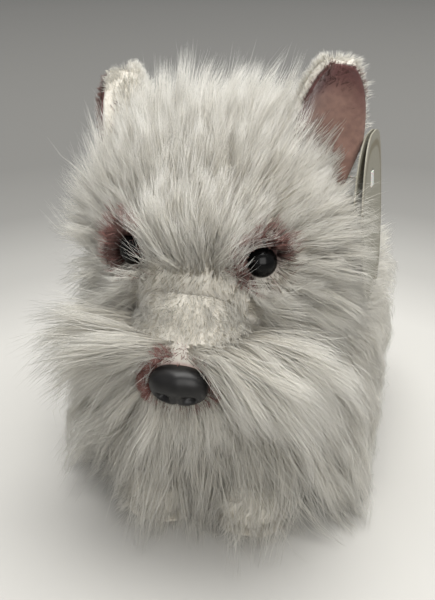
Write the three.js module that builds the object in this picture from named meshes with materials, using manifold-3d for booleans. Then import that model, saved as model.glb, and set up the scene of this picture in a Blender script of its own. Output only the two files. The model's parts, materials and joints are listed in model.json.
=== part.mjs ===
// Plush terrier: a small standing toy dog with a long pile coat, sewn panels over polyester
// stuffing, safety eyes and nose, upright lined ears, a short tail and a hang tag on its left ear.
// Millimetres. +X is the dog's left side, -Y is its front, +Z is up, and the soles stand on z = 0.
import * as THREE from 'three';
import { mergeVertices } from 'three/addons/utils/BufferGeometryUtils.js';
import Module from 'manifold-3d';

const wasm = await Module();
wasm.setup();

// ---- driving dimensions ----
const gap = 0.35; // clearance between pieces that touch
const forwardShift = 11.4; // moves the dog so that the middle of its length is at y = 0

// torso: an oval body with its long pile, lying along Y
const torso = { centre: [0, 3, 48], outer: [52, 67, 42], inner: [42.5, 57.5, 32.5], fullness: 2.6 };
const bellyHalfWidth = 20;
const bellyTop = 26;

// head and muzzle
const head = { centre: [0, -36, 101], outer: [42.5, 43, 40], inner: [36, 35.5, 32.5] };
const muzzle = { centre: [0, -69, 84], outer: [21, 23, 15.5], inner: [17.5, 19.5, 12], pitch: 22 };
const gussetHalfWidth = 13; // the strip over the middle of the head
const mouthLine = 77; // height of the seam between muzzle and chin
const chinHalfWidth = 26;
const chinBack = -40;

// neck: the plane where the head is sewn to the torso
const neckPoint = [0, -30, 76];
const neckTilt = 27;

// legs
const legs = [
  { name: 'front_left', x: 17, y: -46, forward: 12 },
  { name: 'front_right', x: -17, y: -46, forward: 12 },
  { name: 'rear_left', x: 22, y: 42, forward: 8 },
  { name: 'rear_right', x: -22, y: 42, forward: 8 },
];
const legRadius = 13;
const legPile = 4;
const legTop = 34;
const pawSize = [13, 14, 11];
const pawHeight = 9;
const soleThickness = 2.5;

// tail
const tail = { ball: [0, 62, 74], ballRadius: 9, neck: 6, belly: 8, tip: 4, length: 36, lean: 11, pile: 3 };

// ears: the opening turns away from straight ahead by "turn", and the plate leans along "rise"
const ears = [
  { name: 'left', base: [27.3, -22, 118], rise: [0.15, 0.03, 1], turn: 45, height: 44.5 },
  { name: 'right', base: [-29, -22, 116], rise: [-0.2, 0.03, 1], turn: -106, height: 39 },
];
const earWidth = 32.5;
const earCup = 6;
const earBackThickness = 3.2;
const earLiningThickness = 1.6;
const earLiningMargin = 2;
const earClearance = 3; // between an ear's lower edge and the head's pile, so that it can flex

// safety eyes and nose: a dome on a ribbed shank, held by a washer behind the cloth
const eye = { side: 20, y: -66.5, z: 108, radius: 4.9, shank: 2, shankLength: 10 };
const eyeDirection = [0.4, -0.9, 0.14];
const nose = { centre: [0, -90.6, 74.5], size: [9.4, 5.2, 6.6], shank: 2, shankLength: 14 };
const washer = { radius: 6.5, thickness: 1.2 };

// hang tag: two card leaves with a fold at their back edge, on a plastic fastener through the ear
const tag = { hole: [46.5, -12, 119], height: 62, width: 38, card: 0.5, holeBelowTop: 16 };
const tagTurn = -8;
const tagLean = -3;
const tagOpening = 2;
const paddle = { thickness: 1.5, width: 3.2, height: 5.4, window: 3.8 };
const filamentRadius = 0.45;
const filamentStart = -11; // where the crossbar lies behind the ear, measured from the tag

// care label sewn into the seam at the back of the belly
const label = { width: 12, thickness: 0.6, height: 16, y: 70.6, z: 30 };

// ---- materials ----
function paint(colour, roughness, metalness = 0) {
  return new THREE.MeshStandardMaterial({ color: colour, roughness, metalness });
}
const longPile = () => paint('#e9e6dc', 0.95);
const shortPile = () => paint('#e6e0cf', 0.9);
const stuffingFibre = () => paint('#f4f4f2', 1.0);
const blackPlastic = () => paint('#14120f', 0.2);
const washerPlastic = () => paint('#d8d8d2', 0.5);
const pinkVelour = () => paint('#b5806f', 0.9);
const creamCard = () => paint('#d9d5bd', 0.6);
const clearPlastic = () => paint('#eceeec', 0.3);
const whiteSatin = () => paint('#f2f2f0', 0.5);

// ---- solids ----
function toSolid(geometry) {
  const bare = geometry.index ? geometry.toNonIndexed() : geometry.clone();
  bare.deleteAttribute('normal');
  bare.deleteAttribute('uv');
  const merged = mergeVertices(bare, 1e-4);
  const mesh = new wasm.Mesh({
    numProp: 3,
    vertProperties: new Float32Array(merged.attributes.position.array),
    triVerts: new Uint32Array(merged.index.array),
  });
  return new wasm.Manifold(mesh);
}

function grown(size, amount) {
  return size.map((value) => value + amount);
}

// an ellipsoid, made fuller towards its corners when fullness is above 2
function roundBody(centre, size, fullness = 2, across = 30, along = 20, pitch = 0) {
  const geometry = new THREE.SphereGeometry(1, across, along);
  const position = geometry.attributes.position;
  const point = new THREE.Vector3();
  for (let i = 0; i < position.count; i += 1) {
    point.fromBufferAttribute(position, i);
    const sum = point.toArray().reduce((total, value) => total + Math.abs(value) ** fullness, 0);
    point.divideScalar(sum ** (1 / fullness));
    position.setXYZ(i, point.x, point.y, point.z);
  }
  geometry.scale(...size);
  geometry.rotateX(THREE.MathUtils.degToRad(pitch));
  geometry.translate(...centre);
  return toSolid(geometry);
}

function block(low, high) {
  const size = low.map((value, i) => high[i] - value);
  const geometry = new THREE.BoxGeometry(...size);
  geometry.translate(...low.map((value, i) => value + size[i] / 2));
  return toSolid(geometry);
}

// a cylinder from a point along a direction
function rod(start, direction, radius, length, sides = 8) {
  const geometry = new THREE.CylinderGeometry(radius, radius, length, sides);
  geometry.translate(0, length / 2, 0);
  const axis = new THREE.Vector3(...direction).normalize();
  geometry.applyQuaternion(new THREE.Quaternion().setFromUnitVectors(new THREE.Vector3(0, 1, 0), axis));
  geometry.translate(...start);
  return toSolid(geometry);
}

// everything on the head's side of the neck plane, moved along the plane's normal by offset
function headSide(offset) {
  const reach = 200;
  const geometry = new THREE.BoxGeometry(reach * 2, reach * 2, reach);
  geometry.translate(0, 0, reach / 2 + offset);
  geometry.rotateX(THREE.MathUtils.degToRad(neckTilt));
  geometry.translate(...neckPoint);
  return toSolid(geometry);
}

const dog = new THREE.Group();
dog.position.y = forwardShift;

function addPiece(name, solid, material) {
  const result = solid.getMesh();
  const geometry = new THREE.BufferGeometry();
  geometry.setAttribute('position', new THREE.BufferAttribute(new Float32Array(result.vertProperties), 3));
  geometry.setIndex(new THREE.BufferAttribute(new Uint32Array(result.triVerts), 1));
  geometry.computeVertexNormals();
  const mesh = new THREE.Mesh(geometry, material);
  mesh.name = name;
  dog.add(mesh);
}

// ---- torso ----
function torsoBody(size) {
  return roundBody(torso.centre, size, torso.fullness, 20, 12);
}

function tailProfile(extra) {
  const points = [];
  const steps = 5;
  for (let i = 0; i <= 4; i += 1) {
    const angle = -Math.PI / 2 + (i / 4) * 2.2;
    const radius = tail.ballRadius + extra;
    points.push(new THREE.Vector2(radius * Math.cos(angle), radius * Math.sin(angle)));
  }
  const start = tail.ballRadius + 1;
  for (let i = 0; i <= steps; i += 1) {
    const t = i / steps;
    const swell = tail.neck + (tail.belly - tail.neck) * Math.sin(Math.PI * Math.min(1, t * 1.3));
    const taper = swell + (tail.tip - tail.neck) * t * t;
    points.push(new THREE.Vector2(taper + extra, start + t * (tail.length - start - tail.tip)));
  }
  for (let i = 1; i <= 3; i += 1) {
    const angle = (i / 3) * (Math.PI / 2);
    const radius = tail.tip + extra;
    const across = i === 3 ? 0 : radius * Math.cos(angle);
    points.push(new THREE.Vector2(across, tail.length - tail.tip + radius * Math.sin(angle)));
  }
  points[0].x = 0;
  return points;
}

function tailBody(extra) {
  const geometry = new THREE.LatheGeometry(tailProfile(extra), 12);
  geometry.rotateX(Math.PI / 2 - THREE.MathUtils.degToRad(tail.lean));
  geometry.translate(...tail.ball);
  return toSolid(geometry);
}

const tailSocket = roundBody(tail.ball, grown([0, 0, 0], tail.ballRadius + 0.9), 2, 12, 6);
const torsoSide = headSide(-gap);
const torsoOuter = torsoBody(torso.outer);
const torsoShell = torsoOuter.subtract(torsoBody(torso.inner)).subtract(torsoSide).subtract(tailSocket);
const bellyLow = [-bellyHalfWidth, -60, -10];
const bellyHigh = [bellyHalfWidth, 80, bellyTop];
const bellyRegion = block(bellyLow, bellyHigh);
const sidePanels = torsoShell.subtract(block(grown(bellyLow, -gap), grown(bellyHigh, gap)));
addPiece('torso_left_panel', sidePanels.intersect(block([gap / 2, -90, -10], [90, 90, 140])), longPile());
addPiece('torso_right_panel', sidePanels.intersect(block([-90, -90, -10], [-gap / 2, 90, 140])), longPile());
addPiece('belly_panel', torsoShell.intersect(bellyRegion), shortPile());
const torsoFilling = torsoBody(grown(torso.inner, -gap)).subtract(torsoSide);
addPiece('torso_stuffing', torsoFilling.subtract(tailSocket), stuffingFibre());

// ---- legs ----
function legBody(leg, inset) {
  const radius = legRadius - inset;
  const shaft = rod([leg.x, leg.y, -10], [0, 0, 1], radius, legTop + 10, 12);
  const toe = [leg.x, leg.y - leg.forward, pawHeight];
  return shaft.add(roundBody(toe, grown(pawSize, -inset), 2.3, 12, 6));
}

const aboveSole = block([-90, -110, soleThickness + gap], [90, 90, 90]);
const soleLayer = block([-90, -110, 0], [90, 90, soleThickness]);
const torsoRelief = torsoBody(grown(torso.outer, gap));
for (const leg of legs) {
  const cover = legBody(leg, 0).subtract(legBody(leg, legPile));
  const filling = legBody(leg, legPile + gap);
  addPiece(`${leg.name}_leg_cover`, cover.intersect(aboveSole).subtract(torsoRelief), longPile());
  addPiece(`${leg.name}_leg_stuffing`, filling.intersect(aboveSole).subtract(torsoRelief), stuffingFibre());
  addPiece(`${leg.name}_sole_pad`, legBody(leg, 0).intersect(soleLayer), shortPile());
}

// ---- tail ----
const tailFilling = tailBody(-tail.pile - gap);
const tailOpening = rod(tail.ball, [0, 0, -1], 3, 12, 12);
addPiece('tail_cover', tailBody(0).subtract(tailBody(-tail.pile)).subtract(tailOpening), longPile());
addPiece('tail_stuffing', tailFilling, stuffingFibre());

// ---- head ----
function muzzleBody(size) {
  return roundBody(muzzle.centre, size, 2.2, 14, 8, muzzle.pitch);
}

function headBody(which, extra) {
  const skull = roundBody(head.centre, grown(head[which], extra), 2, 20, 12);
  return skull.add(muzzleBody(grown(muzzle[which], extra)));
}

// a safety eye's or nose's shank with its washer, and the pocket that both need
const shankReach = 3; // from the dome's back to the washer
function shankAndWasher(centre, direction, part, extra) {
  const back = direction.map((value) => -value);
  const inward = new THREE.Vector3(...back).normalize();
  const place = (distance) => inward.clone().multiplyScalar(distance).add(new THREE.Vector3(...centre)).toArray();
  const shank = rod(centre, back, part.shank + extra, part.shankLength + extra);
  const seat = part.washerAt - extra;
  const disc = rod(place(seat), back, washer.radius + extra, washer.thickness + extra * 2, 10);
  return { shank, disc, bore: rod(place(seat - 1), back, part.shank + 0.15, washer.thickness + 3) };
}

const eyePart = { ...eye, washerAt: shankReach + 1.4 };
const nosePart = { ...nose, washerAt: shankReach + 5 };
const noseDirection = [0, -0.93, -0.37];
const noseDome = (extra) => roundBody(nose.centre, grown(nose.size, extra), 2.3, 16, 8, 10);
const eyes = [1, -1].map((side) => ({
  name: side > 0 ? 'left' : 'right',
  centre: [side * eye.side, eye.y, eye.z],
  direction: [side * eyeDirection[0], eyeDirection[1], eyeDirection[2]],
}));

const aboveNeck = headSide(gap);
let headCuts = noseDome(gap).add(shankAndWasher(nose.centre, noseDirection, nosePart, gap).shank);
for (const one of eyes) {
  const outwards = rod(one.centre, one.direction, eye.radius + 0.9, 20, 14);
  const socket = roundBody(one.centre, grown([0, 0, 0], eye.radius + 0.9), 2, 14, 8);
  const fixing = shankAndWasher(one.centre, one.direction, eyePart, gap);
  headCuts = headCuts.add(outwards).add(socket).add(fixing.shank);
}

const headShell = headBody('outer', 0).subtract(headBody('inner', 0)).intersect(aboveNeck);
const headCloth = headShell.subtract(headCuts);
const chinLow = [-chinHalfWidth, -120, 40];
const chinHigh = [chinHalfWidth, chinBack, mouthLine];
const chinRegion = block(chinLow, chinHigh);
const upperCloth = headCloth.subtract(block(grown(chinLow, -gap), grown(chinHigh, gap)));
const muzzleZone = muzzleBody(grown(muzzle.outer, 0.6));
const coatCloth = upperCloth.subtract(muzzleBody(grown(muzzle.outer, 0.6 + gap)));
const reach = 100;
const overTop = block([-gussetHalfWidth, -reach, 40], [gussetHalfWidth, reach, 180]);
const leftOfStrip = block([gussetHalfWidth + gap, -reach, 40], [reach, reach, 180]);
const rightOfStrip = block([-reach, -reach, 40], [-gussetHalfWidth - gap, reach, 180]);
addPiece('head_gusset', coatCloth.intersect(overTop), longPile());
addPiece('head_left_panel', coatCloth.intersect(leftOfStrip), longPile());
addPiece('head_right_panel', coatCloth.intersect(rightOfStrip), longPile());
addPiece('muzzle_panel', upperCloth.intersect(muzzleZone), shortPile());
addPiece('chin_panel', headCloth.intersect(chinRegion), longPile());

let headFilling = headBody('inner', -gap).intersect(headSide(gap)).subtract(headCuts);
const noseFixing = shankAndWasher(nose.centre, noseDirection, nosePart, 0);
headFilling = headFilling.subtract(shankAndWasher(nose.centre, noseDirection, nosePart, gap).disc);
for (const one of eyes) {
  const fixing = shankAndWasher(one.centre, one.direction, eyePart, 0);
  headFilling = headFilling.subtract(shankAndWasher(one.centre, one.direction, eyePart, gap).disc);
  const dome = roundBody(one.centre, grown([0, 0, 0], eye.radius), 2, 12, 8);
  addPiece(`${one.name}_eye`, dome.add(fixing.shank), blackPlastic());
  addPiece(`${one.name}_eye_washer`, fixing.disc.subtract(fixing.bore), washerPlastic());
}
addPiece('head_stuffing', headFilling, stuffingFibre());
addPiece('nose', noseDome(0).add(noseFixing.shank), blackPlastic());
addPiece('nose_washer', noseFixing.disc.subtract(noseFixing.bore), washerPlastic());

// ---- ears ----
// A cupped plate: s runs across the ear from -1 to 1, t runs from its base, 0, to its tip, 1.
function earPlate(ear, inside, outside, margin) {
  const turn = THREE.MathUtils.degToRad(ear.turn);
  const rise = new THREE.Vector3(...ear.rise).normalize();
  const facing = new THREE.Vector3(Math.sin(turn), -Math.cos(turn), 0);
  facing.addScaledVector(rise, -facing.dot(rise)).normalize();
  const across = new THREE.Vector3().crossVectors(rise, facing);
  const geometry = new THREE.BoxGeometry(2, 1, 1, 6, 6, 1);
  const position = geometry.attributes.position;
  const point = new THREE.Vector3();
  for (let i = 0; i < position.count; i += 1) {
    const s = position.getX(i);
    const t = position.getY(i) + 0.5;
    const depth = position.getZ(i) > 0 ? outside : inside;
    const widest = earWidth / 2 - margin;
    const halfWidth = widest * Math.sqrt(1.03 - t ** 3.2) * (0.62 + 0.38 * Math.min(1, t / 0.4));
    point.set(...ear.base);
    point.addScaledVector(rise, t * (ear.height - margin));
    point.addScaledVector(across, s * halfWidth);
    point.addScaledVector(facing, earCup * s * s * (1 - 0.3 * t) + depth);
    position.setXYZ(i, point.x, point.y, point.z);
  }
  return toSolid(geometry);
}

// ---- hang tag ----
// Made about its own hole: x is out of the card, y towards the fold, z up.
function placeTag(geometry) {
  geometry.rotateY(THREE.MathUtils.degToRad(tagLean));
  geometry.rotateZ(THREE.MathUtils.degToRad(tagTurn));
  geometry.translate(...tag.hole);
  return toSolid(geometry);
}

function leafOutline(holeRadius) {
  const middle = tag.holeBelowTop - tag.height / 2;
  const outline = new THREE.Shape();
  outline.absellipse(0, middle, tag.width / 2, tag.height / 2, 0, Math.PI * 2);
  const hole = new THREE.Path();
  hole.absarc(0, 0, holeRadius, 0, Math.PI * 2, true);
  outline.holes.push(hole);
  return outline;
}

function leaf(start, holeRadius, opening) {
  const settings = { depth: tag.card, bevelEnabled: false, curveSegments: 12 };
  const geometry = new THREE.ExtrudeGeometry(leafOutline(holeRadius), settings);
  geometry.rotateX(Math.PI / 2);
  geometry.rotateZ(Math.PI / 2);
  geometry.translate(start, 0, 0);
  geometry.translate(0, -tag.width / 2, 0);
  geometry.rotateZ(THREE.MathUtils.degToRad(opening));
  geometry.translate(0, tag.width / 2, 0);
  return placeTag(geometry);
}

function tagPlaced(size, centre) {
  const geometry = new THREE.BoxGeometry(...size);
  geometry.translate(...centre);
  return placeTag(geometry);
}

function filament(radius, start, end) {
  const geometry = new THREE.CylinderGeometry(radius, radius, end - start, 10);
  geometry.rotateZ(Math.PI / 2);
  geometry.translate((start + end) / 2, 0, 0);
  return placeTag(geometry);
}

const headRelief = headBody('outer', earClearance);
const filamentHole = filament(filamentRadius + 0.4, filamentStart - 3, 3);
for (const ear of ears) {
  const back = earPlate(ear, -earBackThickness, 0, 0).subtract(headRelief);
  const lining = earPlate(ear, gap, gap + earLiningThickness, earLiningMargin).subtract(headRelief);
  addPiece(`${ear.name}_ear_back`, back.subtract(filamentHole), longPile());
  addPiece(`${ear.name}_ear_lining`, lining.subtract(filamentHole), pinkVelour());
}

const paddleStart = tag.card + 0.3;
const crossbar = tagPlaced([0.9, 0.9, 9], [filamentStart, 0, 0]);
const paddleSize = [paddle.thickness, paddle.width, paddle.height];
const paddlePlate = tagPlaced(paddleSize, [paddleStart + paddle.thickness / 2, 0, 0]);
const strand = filament(filamentRadius, filamentStart - 0.3, paddleStart + 0.2);
addPiece('tag_fastener', crossbar.add(paddlePlate).add(strand), clearPlastic());
addPiece('tag_inner_leaf', leaf(0, 1.4, 0), creamCard());
addPiece('tag_cover_leaf', leaf(tag.card + 0.3, paddle.window, tagOpening), creamCard());

// ---- care label ----
const labelLow = [-label.width / 2, label.y, label.z];
const labelHigh = [label.width / 2, label.y + label.thickness, label.z + label.height];
addPiece('care_label', block(labelLow, labelHigh), whiteSatin());

export default dog;
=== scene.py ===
# Plush terrier with a long white coat, a hang tag in its left ear and black safety eyes.
# Sizes are in millimetres and meshes are written in metres. Left and right are the dog's own.
import json
import math

import bpy
import numpy as np
from mathutils import Matrix, Vector


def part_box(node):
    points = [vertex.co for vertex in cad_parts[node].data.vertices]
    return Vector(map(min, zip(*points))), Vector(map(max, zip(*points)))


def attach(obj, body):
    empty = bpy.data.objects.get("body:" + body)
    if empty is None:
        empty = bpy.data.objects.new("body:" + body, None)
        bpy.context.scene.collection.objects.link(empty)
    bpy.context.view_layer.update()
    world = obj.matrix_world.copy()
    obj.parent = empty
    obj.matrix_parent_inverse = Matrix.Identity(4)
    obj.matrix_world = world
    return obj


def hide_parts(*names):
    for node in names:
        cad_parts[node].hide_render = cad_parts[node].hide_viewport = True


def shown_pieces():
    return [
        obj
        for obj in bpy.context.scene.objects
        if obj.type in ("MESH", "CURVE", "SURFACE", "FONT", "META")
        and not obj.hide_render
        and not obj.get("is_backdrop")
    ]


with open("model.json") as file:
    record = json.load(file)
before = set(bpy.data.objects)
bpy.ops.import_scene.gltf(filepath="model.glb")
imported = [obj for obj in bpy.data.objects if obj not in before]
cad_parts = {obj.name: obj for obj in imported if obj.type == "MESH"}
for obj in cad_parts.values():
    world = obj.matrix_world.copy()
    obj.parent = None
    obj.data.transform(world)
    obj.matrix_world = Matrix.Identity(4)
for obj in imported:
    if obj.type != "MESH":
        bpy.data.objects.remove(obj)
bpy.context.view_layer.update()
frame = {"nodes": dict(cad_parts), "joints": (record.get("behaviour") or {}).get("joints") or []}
mm = 0.001
print("frame loaded:", len(frame["nodes"]), "nodes")


def boxOf(*nodes):  # lowest and highest corner of some CAD nodes together
    lows, highs = zip(*[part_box(n) for n in nodes])
    return np.min([list(v) for v in lows], 0) / mm, np.max([list(v) for v in highs], 0) / mm


def jointOf(name):
    return next(j for j in frame["joints"] if j["name"] == name)


def unit(v):
    v = np.asarray(v, float)
    return v / np.maximum(np.linalg.norm(v, axis=-1, keepdims=True), 1e-9)


def smooth(low, high, x):
    t = np.clip((x - low) / (high - low), 0, 1)
    return t * t * (3 - 2 * t)


def onlySelect(ob):
    if bpy.context.object and bpy.context.object.mode != "OBJECT":
        bpy.ops.object.mode_set(mode="OBJECT")
    bpy.ops.object.select_all(action="DESELECT")
    if ob:
        ob.select_set(True)
        bpy.context.view_layer.objects.active = ob


def pointsOf(ob):
    co = np.empty(len(ob.data.vertices) * 3)
    ob.data.vertices.foreach_get("co", co)
    return co.reshape(-1, 3) / mm


def setPoints(ob, points):
    ob.data.vertices.foreach_set("co", (points * mm).ravel())
    ob.data.update()


def applyAll(ob):
    onlySelect(ob)
    for mod in list(ob.modifiers):
        bpy.ops.object.modifier_apply(modifier=mod.name)


def thicken(ob, thickness, offset=0):
    thick = ob.modifiers.new("thick", "SOLIDIFY")
    thick.thickness, thick.offset = thickness * mm, offset
    applyAll(ob)


def shadeSmooth(ob, crease=None):  # edges sharper than the crease angle stay crisp
    onlySelect(ob)
    if crease:
        bpy.ops.object.shade_smooth_by_angle(angle=math.radians(crease))
    else:
        bpy.ops.object.shade_smooth()


def dress(ob, material, body, slot, *nodes):  # finish, body and the CAD nodes it stands for
    ob.data.materials.append(material)
    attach(ob, body)
    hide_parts(*nodes)


def paint(ob, name, amount):  # a value for each point that a material reads
    tone = ob.data.attributes.new(name, "FLOAT", "POINT")
    tone.data.foreach_set("value", amount)


# camera: slightly from the dog's left and above
cameraSetup = {
    "target": (-2.7, -18.6, 74.2), "turn": 13.9, "height": 26.3, "distance": 330, "lens": 54, "sensor": 36,
}


def makeCamera(c):
    a, e = math.radians(c["turn"]), math.radians(c["height"])
    back = Vector((math.sin(a) * math.cos(e), -math.cos(a) * math.cos(e), math.sin(e)))
    bpy.ops.object.camera_add(location=(Vector(c["target"]) + back * c["distance"]) * mm)
    cam = bpy.context.object
    cam.rotation_mode = "QUATERNION"
    cam.rotation_quaternion = (-back).to_track_quat("-Z", "Y")
    cam.data.lens, cam.data.sensor_width = c["lens"], c["sensor"]
    cam.data.clip_start, cam.data.clip_end = 0.01, 20
    bpy.context.scene.camera = cam


onlySelect(None)
makeCamera(cameraSetup)


# the stuffed shapes that the coat grows on, placed from the frame
headLow, headHigh = boxOf("head_gusset", "head_left_panel", "head_right_panel")
torsoLow, torsoHigh = boxOf("torso_left_panel", "torso_right_panel", "belly_panel")
muzzleLow, muzzleHigh = boxOf("muzzle_panel")
headMiddle = (headLow + headHigh) / 2
torsoMiddle = (torsoLow + torsoHigh) / 2
tailRoot = np.array(jointOf("tail_flex")["pos_m"]) / mm
neckPoint = np.array(jointOf("head_turn")["pos_m"]) / mm
neckNormal = np.array(jointOf("head_turn")["axis"])
noseLow, noseHigh = boxOf("nose")
noseCentre = np.array((0, noseLow[1] + 5.3, (noseLow[2] + noseHigh[2]) / 2 - 0.25))
floorGap = 0.5  # no fibre comes nearer the floor than this
formSettings = {
    "headHalfHeight": 40, "torsoHalfHeight": 42, "eye": (20, -30.5, 7), "eyeWay": (0.4, -0.9, 0.14),
    "eyeProud": 1.8,
}
sideSigns = {"left": 1, "right": -1}


def turnX(degrees):
    return np.array(Matrix.Rotation(math.radians(degrees), 3, "X"))


def form(centre, radii, fullness=2.0, turn=None):
    return {
        "centre": np.array(centre, float), "radii": np.array(radii, float), "fullness": fullness,
        "turn": np.eye(3) if turn is None else turn,
    }


halfHigh = formSettings["headHalfHeight"]
headRadii = (headHigh[0], headHigh[1] - headMiddle[1], halfHigh)
headForm = form((0, headMiddle[1], headHigh[2] - halfHigh), headRadii)
halfHigh = formSettings["torsoHalfHeight"]
torsoRadii = (torsoHigh[0], torsoHigh[1] - torsoMiddle[1], halfHigh)
torsoForm = form((0, torsoMiddle[1], torsoLow[2] + halfHigh), torsoRadii, 2.6)
muzzleForm = form((0, muzzleLow[1] + 22.3, muzzleHigh[2] - 15.8), (21, 23, 15.5), 2.2, turnX(22))
bridgeForm = form(headForm["centre"] + (0, -37.5, -7), (16.5, 10, 14.5), 2.3, turnX(-42))
proud = formSettings["eyeProud"]  # the eyes stand this far out of the CAD eyes' places
eyeWays = {side: unit(formSettings["eyeWay"]) * (sign, 1, 1) for side, sign in sideSigns.items()}
eyeCentres = {
    side: headForm["centre"] + np.array(formSettings["eye"]) * (sign, 1, 1) + eyeWays[side] * proud
    for side, sign in sideSigns.items()
}
lipForm = form(noseCentre + (-1.5, 6.5, -3.2), (13, 7.5, 8.3), 2.2)


def level(p, f):  # 1 on the surface, less inside
    q = np.abs((p - f["centre"]) @ f["turn"]) / f["radii"]
    return (q ** f["fullness"]).sum(-1) ** (1 / f["fullness"])


def outward(p, f):
    q = (p - f["centre"]) @ f["turn"]
    g = np.sign(q) * np.abs(q / f["radii"]) ** (f["fullness"] - 1) / f["radii"]
    return unit(g @ f["turn"].T)


def pushOut(p, f, margin):
    scale = np.maximum(1, (1 + margin) / np.maximum(level(p, f), 0.05))[..., None]
    return f["centre"] + (p - f["centre"]) * scale


def formMesh(name, f, grow=0.0, segments=40):
    onlySelect(None)
    bpy.ops.mesh.primitive_uv_sphere_add(segments=segments, ring_count=segments // 2, radius=1)
    ob = bpy.context.object
    ob.name = name
    d = pointsOf(ob) * mm
    size = (np.abs(d) ** f["fullness"]).sum(1) ** (1 / f["fullness"])
    setPoints(ob, (d / size[:, None] * (f["radii"] + grow)) @ f["turn"].T + f["centre"])
    return ob


def joinAll(first, *others):
    onlySelect(first)
    for ob in others:
        ob.select_set(True)
    bpy.ops.object.join()
    return first


def remesh(ob, cell):
    onlySelect(ob)
    ob.data.remesh_voxel_size = cell * mm
    bpy.ops.object.voxel_remesh()


def cutFlat(ob, point, normal, keepUpper):
    onlySelect(ob)
    bpy.ops.object.mode_set(mode="EDIT")
    bpy.ops.mesh.select_all(action="SELECT")
    bpy.ops.mesh.bisect(
        plane_co=Vector(point) * mm, plane_no=normal, use_fill=True, clear_inner=keepUpper,
        clear_outer=not keepUpper,
    )
    bpy.ops.object.mode_set(mode="OBJECT")


def carve(ob, *cutters):
    for cutter in cutters:
        mod = ob.modifiers.new("carve", "BOOLEAN")
        mod.operation, mod.solver, mod.object = "DIFFERENCE", "EXACT", cutter
        applyAll(ob)
        bpy.data.objects.remove(cutter)


# stuffed pads: pressed out like filled cloth, then held to the size of the CAD panels
padSettings = {
    "undersize": 1.8, "pressure": 4.0, "clothMass": 0.15, "cap": 1.7, "frames": 20, "eyeDent": 2.6,
    "dentWidth": 7, "seam": 0.5,
}


def inflate(pads):
    for ob, cap in pads:
        cloth = ob.modifiers.new("cloth", "CLOTH")
        cloth.settings.use_pressure = True
        cloth.settings.uniform_pressure_force = padSettings["pressure"]
        cloth.settings.effector_weights.gravity = 0
        cloth.settings.quality = 4
        cloth.settings.mass = padSettings["clothMass"]
        cloth.point_cache.frame_start, cloth.point_cache.frame_end = 1, padSettings["frames"]
    for f in range(1, padSettings["frames"] + 1):
        bpy.context.scene.frame_set(f)
    graph = bpy.context.evaluated_depsgraph_get()
    for ob, cap in pads:
        before = pointsOf(ob)
        swollen = ob.evaluated_get(graph).data
        co = np.empty(len(swollen.vertices) * 3)
        swollen.vertices.foreach_get("co", co)
        move = co.reshape(-1, 3) / mm - before
        far = np.linalg.norm(move, axis=1, keepdims=True)
        ob.modifiers.clear()
        setPoints(ob, before + move * np.minimum(1, cap / np.maximum(far, 1e-6)))
    bpy.context.scene.frame_set(1)


def refine(ob):
    sub = ob.modifiers.new("smooth", "SUBSURF")
    sub.levels = sub.render_levels = 1
    applyAll(ob)
    shadeSmooth(ob)


legSettings = {"radius": 13, "paw": (13, 14, 11), "pawHeight": 9.5, "columnHeight": 22, "soleThickness": 2.5}
pawReach = {"front_left": 12, "front_right": 12, "rear_left": 8, "rear_right": 8}  # forward of the leg
tailSettings = {
    "lean": 11, "middle": 17.5, "radii": (7.6, 7.6, 18.5), "ball": (9, 9, 9), "socket": (9.9, 9.9, 9.9),
    "undersize": 0.8,
}


def legForms(leg):
    low, high = boxOf(leg + "_leg_cover")
    r = legSettings["radius"]
    x, y = (low[0] + high[0]) / 2, high[1] - r
    column = form((x, y, legSettings["columnHeight"]), (r, r, legSettings["columnHeight"] - 2), 2.6)
    paw = form((x, y - pawReach[leg], legSettings["pawHeight"]), legSettings["paw"])
    return column, paw


def tailAlong():
    lean = math.radians(tailSettings["lean"])
    return np.array((0, math.sin(lean), math.cos(lean)))


def makeTail():
    t = tailSettings
    tailForm = form(tailRoot + tailAlong() * t["middle"], t["radii"], 2.3, turnX(-t["lean"]))
    tail = formMesh("tailPad", tailForm, -t["undersize"], 24)
    return joinAll(tail, formMesh("ball", form(tailRoot, t["ball"]), -t["undersize"], 24))


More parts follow.
